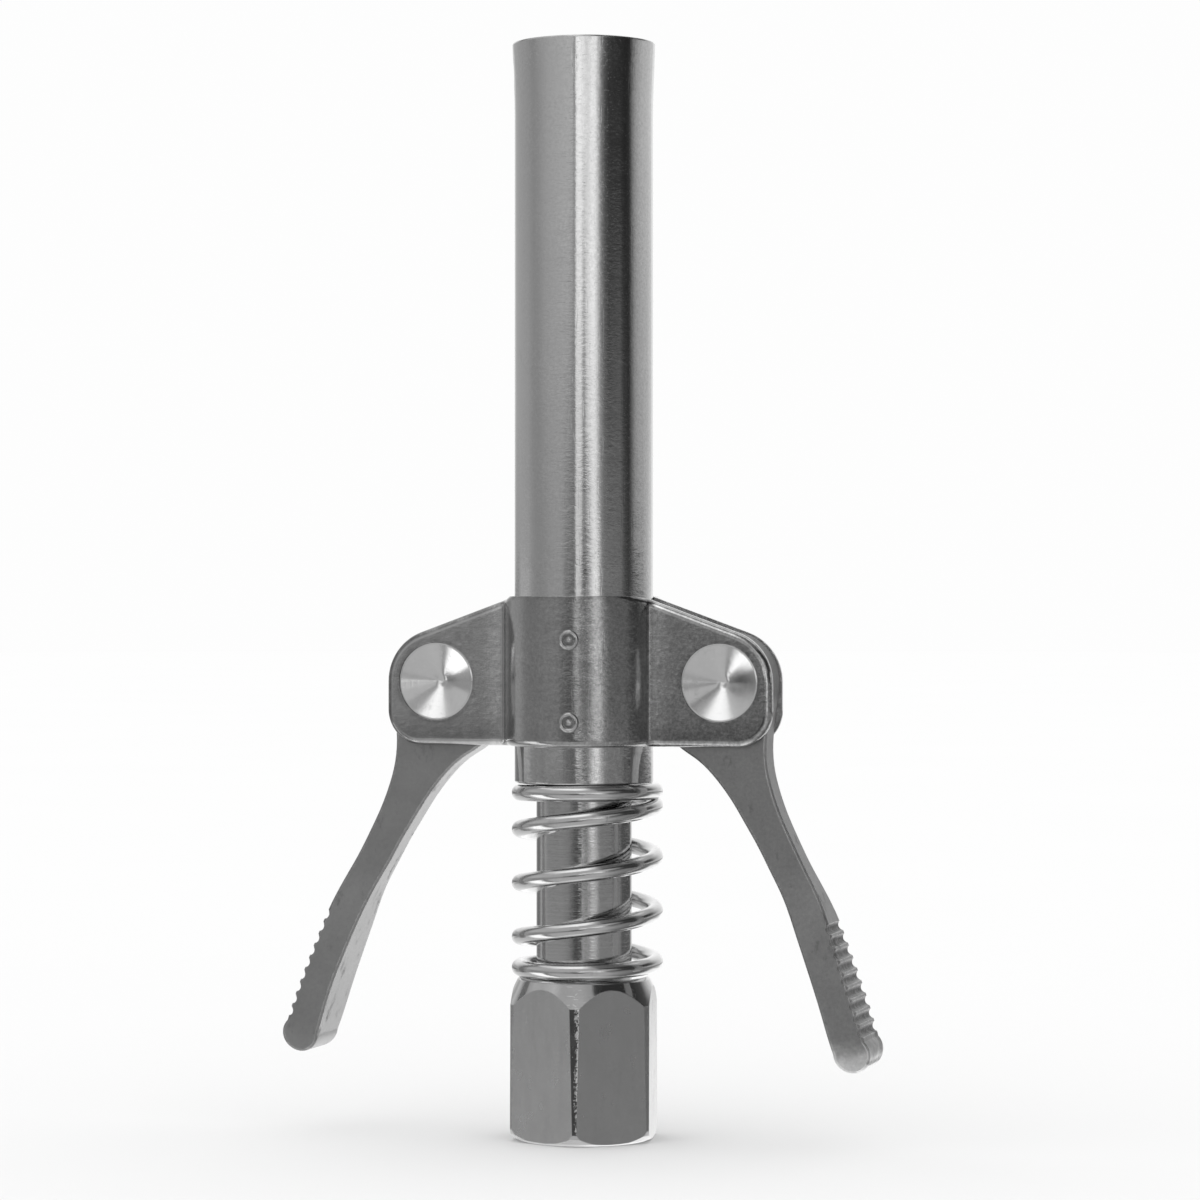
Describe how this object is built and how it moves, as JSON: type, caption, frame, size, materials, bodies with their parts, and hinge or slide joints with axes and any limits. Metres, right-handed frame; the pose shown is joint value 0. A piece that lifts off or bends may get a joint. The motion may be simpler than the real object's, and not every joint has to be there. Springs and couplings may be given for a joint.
{
  "type": "grease coupler",
  "caption": "Quick-release locking grease coupler: squeeze levers pull back a sprung sleeve so jaws at the mouth open and clamp a grease nipple; hexagon inlet fitting with pipe thread.",
  "frame": {"origin": "centre of the hexagon fitting's bottom face, on the coupler's axis", "axes": "+Z along the axis from the inlet to the mouth, levers at -X and +X, bracket front towards -Y"},
  "size_m": [0.0657, 0.0176, 0.1182],
  "materials": {
    "fitting_steel": "satin nickel plate over milled hexagon bar",
    "stem_steel": "turned and plated, fine lathe lines",
    "sleeve_steel": "satin nickel plate with lengthwise brushing",
    "bracket_steel": "plated pressed sheet, slightly grainy",
    "pin_steel": "bright turned pin with polished dished ends",
    "lever_steel": "matte blasted and plated forging",
    "spring_wire": "bright plated spring wire",
    "jaw_steel": "hardened, dark satin",
    "ball_steel": "polished bearing ball",
    "valve_brass": "turned",
    "seal_rubber": "matte moulded"
  },
  "bodies": {
    "root": {"inlet_fitting": "fitting_steel", "stem": "stem_steel", "stem_o_ring": "seal_rubber", "valve_seat": "valve_brass", "ball_spring": "spring_wire", "seal_spring": "spring_wire", "main_spring": "spring_wire", "jaw_ring": "spring_wire"},
    "sleeve_assembly": {"sleeve": "sleeve_steel", "bracket_front": "bracket_steel", "bracket_rear": "bracket_steel", "pivot_pin_left": "pin_steel", "pivot_pin_right": "pin_steel"},
    "lever_left": {"lever_left": "lever_steel"},
    "lever_right": {"lever_right": "lever_steel"},
    "jaw_1": {"jaw_1": "jaw_steel"},
    "jaw_2": {"jaw_2": "jaw_steel"},
    "jaw_3": {"jaw_3": "jaw_steel"},
    "seal_piston": {"seal_piston": "valve_brass", "nose_seal": "seal_rubber"},
    "check_ball": {"check_ball": "ball_steel"}
  },
  "joints": [
    {"name": "sleeve_slide", "type": "slide", "parent": "root", "child": "sleeve_assembly", "axis": [0, 0, -1], "range_m": [0, 0.0035], "stiffness_N_per_m": 3500, "springref_m": -0.0052, "deforming": ["main_spring"]},
    {"name": "lever_left_pivot", "type": "hinge", "parent": "sleeve_assembly", "child": "lever_left", "pos_m": [-0.01585, 0, 0.0493], "axis": [0, -1, 0], "range_deg": [0, 18.3]},
    {"name": "lever_right_pivot", "type": "hinge", "parent": "sleeve_assembly", "child": "lever_right", "pos_m": [0.01585, 0, 0.0493], "axis": [0, 1, 0], "range_deg": [0, 18.3]},
    {"name": "jaw_1_tilt", "type": "hinge", "parent": "root", "child": "jaw_1", "pos_m": [0, 0.0044, 0.0941], "axis": [-1, 0, 0], "range_deg": [0, 2.1]},
    {"name": "jaw_2_tilt", "type": "hinge", "parent": "root", "child": "jaw_2", "pos_m": [-0.00381, -0.0022, 0.0941], "axis": [0.5, -0.866, 0], "range_deg": [0, 2.1]},
    {"name": "jaw_3_tilt", "type": "hinge", "parent": "root", "child": "jaw_3", "pos_m": [0.00381, -0.0022, 0.0941], "axis": [0.5, 0.866, 0], "range_deg": [0, 2.1]},
    {"name": "seal_slide", "type": "slide", "parent": "root", "child": "seal_piston", "axis": [0, 0, -1], "range_m": [0, 0.0014], "stiffness_N_per_m": 1200, "springref_m": -0.002, "deforming": ["seal_spring"]},
    {"name": "ball_lift", "type": "slide", "parent": "root", "child": "check_ball", "axis": [0, 0, 1], "range_m": [0, 0.001], "stiffness_N_per_m": 300, "springref_m": -0.0015, "deforming": ["ball_spring"]}
  ],
  "couplings": [
    {"joint": "lever_left_pivot", "follows": "sleeve_slide", "rad_per_m": 90.258},
    {"joint": "lever_right_pivot", "follows": "sleeve_slide", "rad_per_m": 90.258},
    {"joint": "jaw_1_tilt", "follows": "sleeve_slide", "rad_per_m": 9.9733},
    {"joint": "jaw_2_tilt", "follows": "sleeve_slide", "rad_per_m": 9.9733},
    {"joint": "jaw_3_tilt", "follows": "sleeve_slide", "rad_per_m": 9.9733}
  ]
}
